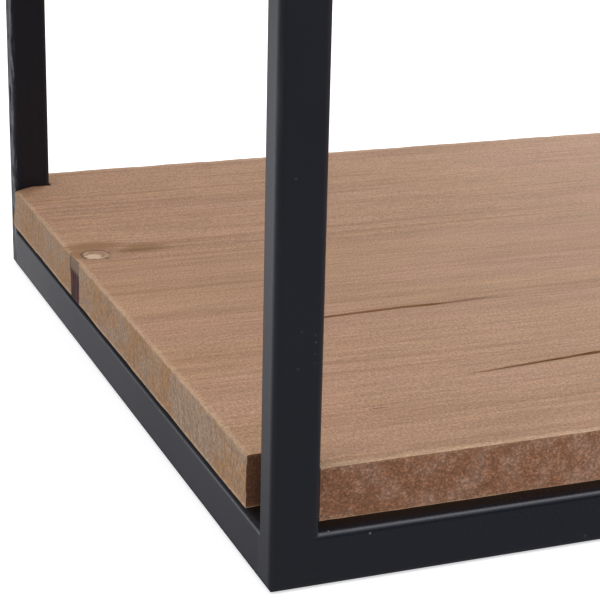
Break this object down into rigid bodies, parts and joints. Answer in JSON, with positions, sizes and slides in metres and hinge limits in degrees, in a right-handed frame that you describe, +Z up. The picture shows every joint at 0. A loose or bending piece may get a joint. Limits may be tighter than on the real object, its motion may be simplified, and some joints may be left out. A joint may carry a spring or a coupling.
{
  "type": "shelving unit",
  "caption": "Open shelving unit: welded black rectangular-tube frame with loose fir boards, each notched around the uprights and resting on bumpers on the rails.",
  "frame": {"origin": "middle of the unit's outline, on the floor", "axes": "+Z up, +X to the right along the front, +Y to the back"},
  "size_m": [0.803, 0.402, 1.3028],
  "materials": {
    "black_coat": "satin black powder coat on steel tube",
    "fir": "brown stained solid fir, brushed and matt",
    "bumper_rubber": "matt black rubber",
    "plug_plastic": "matt black moulded plastic"
  },
  "bodies": {
    "frame": {"back_rail_1": "black_coat", "back_rail_2": "black_coat", "back_rail_3": "black_coat", "back_rail_4": "black_coat", "bumpers_1": "bumper_rubber", "bumpers_2": "bumper_rubber", "bumpers_3": "bumper_rubber", "bumpers_4": "bumper_rubber", "foot_plugs": "plug_plastic", "front_rail_1": "black_coat", "front_rail_2": "black_coat", "front_rail_3": "black_coat", "front_rail_4": "black_coat", "left_rail_1": "black_coat", "left_rail_2": "black_coat", "left_rail_3": "black_coat", "left_rail_4": "black_coat", "right_rail_1": "black_coat", "right_rail_2": "black_coat", "right_rail_3": "black_coat", "right_rail_4": "black_coat", "top_plugs": "plug_plastic", "upright_back_left": "black_coat", "upright_back_right": "black_coat", "upright_front_left": "black_coat", "upright_front_right": "black_coat", "welds_1": "black_coat", "welds_2": "black_coat", "welds_3": "black_coat", "welds_4": "black_coat"},
    "shelf_1": {"shelf_1_back_plank": "fir", "shelf_1_front_plank": "fir", "shelf_1_middle_plank": "fir"},
    "shelf_2": {"shelf_2_back_plank": "fir", "shelf_2_front_plank": "fir", "shelf_2_middle_plank": "fir"},
    "shelf_3": {"shelf_3_back_plank": "fir", "shelf_3_front_plank": "fir", "shelf_3_middle_plank": "fir"},
    "shelf_4": {"shelf_4_back_plank": "fir", "shelf_4_front_plank": "fir", "shelf_4_middle_plank": "fir"}
  },
  "joints": [
    {"name": "shelf_1_lift", "type": "slide", "parent": "frame", "child": "shelf_1", "axis": [0, 0, 1], "range_m": [0, 0.37]},
    {"name": "shelf_2_lift", "type": "slide", "parent": "frame", "child": "shelf_2", "axis": [0, 0, 1], "range_m": [0, 0.37]},
    {"name": "shelf_3_lift", "type": "slide", "parent": "frame", "child": "shelf_3", "axis": [0, 0, 1], "range_m": [0, 0.37]},
    {"name": "shelf_4_lift", "type": "slide", "parent": "frame", "child": "shelf_4", "axis": [0, 0, 1], "range_m": [0, 0.1]}
  ]
}
